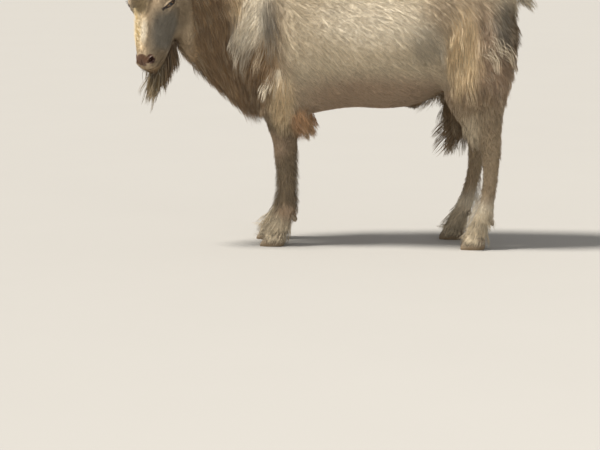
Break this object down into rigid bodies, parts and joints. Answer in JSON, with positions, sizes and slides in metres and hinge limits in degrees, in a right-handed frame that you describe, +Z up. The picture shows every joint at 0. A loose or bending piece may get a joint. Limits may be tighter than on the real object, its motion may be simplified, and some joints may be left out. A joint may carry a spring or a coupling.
{
  "type": "goat",
  "caption": "Life-size standing male goat with swept-back horns, a beard and a long shaggy pale coat, its head lowered and turned to its left.",
  "frame": {"origin": "middle of the floor under the whole model, at the height of the hoof soles", "axes": "+Z up; the body lies along X and faces -X; the goat's own left side is towards -Y, and its head is turned towards -Y"},
  "size_m": [1.1316, 0.3692, 0.9168],
  "materials": {
    "coat": "long cream and golden hair",
    "neck_coat": "shaggy brown-tan hair",
    "leg_coat": "short cream-white hair",
    "dark_coat": "dark brown hair",
    "beard_hair": "long brown hair",
    "hoof_horn": "worn hoof horn",
    "horn": "ringed horn",
    "eye": "moist amber eye"
  },
  "bodies": {
    "root": {"beard": "beard_hair", "dewclaw_fore_left_inner": "hoof_horn", "dewclaw_fore_left_outer": "hoof_horn", "dewclaw_fore_right_inner": "hoof_horn", "dewclaw_fore_right_outer": "hoof_horn", "dewclaw_hind_left_inner": "hoof_horn", "dewclaw_hind_left_outer": "hoof_horn", "dewclaw_hind_right_inner": "hoof_horn", "dewclaw_hind_right_outer": "hoof_horn", "ear_left": "coat", "ear_right": "coat", "eye_left": "eye", "eye_right": "eye", "foreleg_left": "leg_coat", "foreleg_right": "leg_coat", "head": "coat", "hindleg_left": "leg_coat", "hindleg_right": "leg_coat", "hoof_fore_left_inner": "hoof_horn", "hoof_fore_left_outer": "hoof_horn", "hoof_fore_right_inner": "hoof_horn", "hoof_fore_right_outer": "hoof_horn", "hoof_hind_left_inner": "hoof_horn", "hoof_hind_left_outer": "hoof_horn", "hoof_hind_right_inner": "hoof_horn", "hoof_hind_right_outer": "hoof_horn", "horn_left": "horn", "horn_right": "horn", "neck": "neck_coat", "scrotum": "dark_coat", "tail": "coat", "trunk": "coat"}
  },
  "joints": []
}
